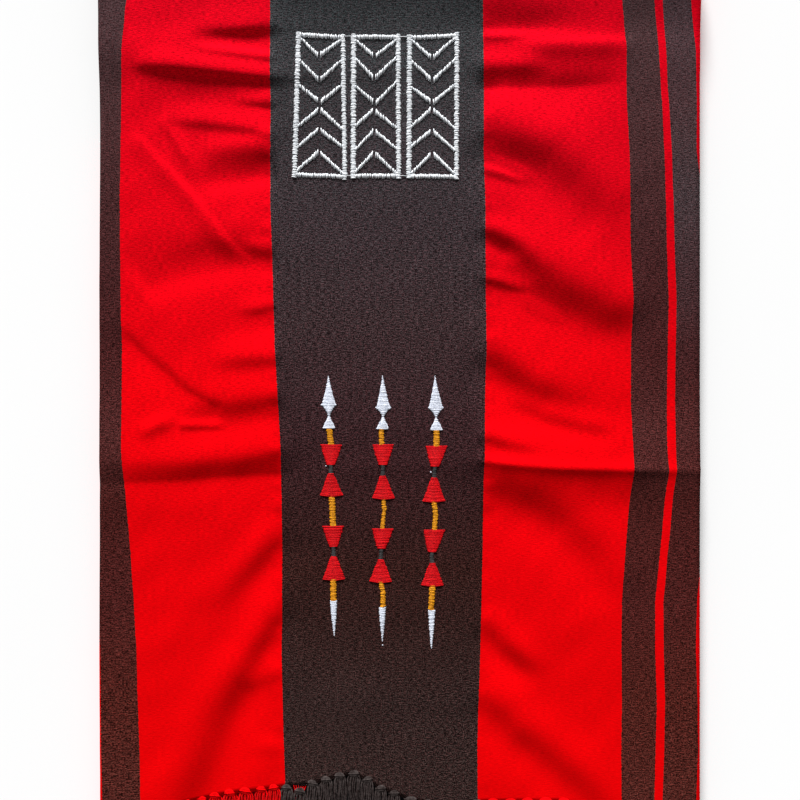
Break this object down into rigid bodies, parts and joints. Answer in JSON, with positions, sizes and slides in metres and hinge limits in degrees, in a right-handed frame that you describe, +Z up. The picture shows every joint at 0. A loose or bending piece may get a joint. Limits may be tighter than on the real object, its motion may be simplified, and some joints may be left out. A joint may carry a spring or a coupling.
{
  "type": "folded shawl",
  "caption": "Long narrow woven shawl in red and black bands, folded back and forth and lying flat, with a knotted fringe at both ends.",
  "frame": {"origin": "bottom centre of the bounding box, on the surface that the folded shawl lies on", "axes": "+X across the cloth's width, +Y along its length, away from the fringed ends, +Z up through the folded layers"},
  "size_m": [0.301, 0.528, 0.015],
  "materials": {
    "woven_cloth": "matte ribbed plain weave, bright red and charcoal bands",
    "upper_fringe_yarn": "twisted yarn, charcoal and red, knotted at the hem",
    "lower_fringe_yarn": "twisted yarn, charcoal and red, knotted at the hem"
  },
  "bodies": {
    "root": {"shawl_cloth": "woven_cloth", "fringe_upper": "upper_fringe_yarn", "fringe_lower": "lower_fringe_yarn"}
  },
  "joints": []
}
